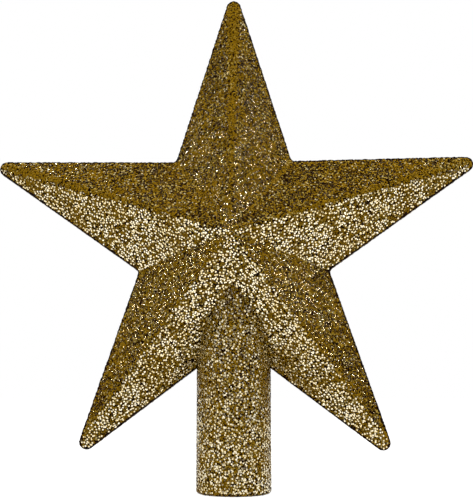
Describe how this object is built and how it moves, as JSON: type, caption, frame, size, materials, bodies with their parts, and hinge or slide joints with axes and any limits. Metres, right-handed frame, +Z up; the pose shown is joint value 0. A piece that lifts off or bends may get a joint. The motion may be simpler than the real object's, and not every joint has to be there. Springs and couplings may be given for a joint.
{
  "type": "christmas tree topper star",
  "caption": "Hollow glittered star in relief on a round socket tube that slips over the top shoot of a Christmas tree.",
  "frame": {"origin": "centre of the mouth of the socket tube's bore", "axes": "+Z up along the bore, -Y out of the star's front face, +X to the right as seen from the front"},
  "size_m": [0.2084, 0.0558, 0.2162],
  "materials": {
    "shell_plastic": "injection-moulded plastic in dark gold, satin, bare only inside the star",
    "tube_plastic": "injection-moulded plastic in dark gold, satin, bare in the bore and at the mouth's rim",
    "cement": "clear solvent cement set in the groove of the seam",
    "glitter": "glued gold glitter flakes, coarse and sparkling, dark between the flakes"
  },
  "bodies": {
    "root": {"front_shell": "shell_plastic", "rear_shell": "shell_plastic", "socket_tube": "tube_plastic", "seam_cement": "cement", "glitter_coat": "glitter"}
  },
  "joints": []
}
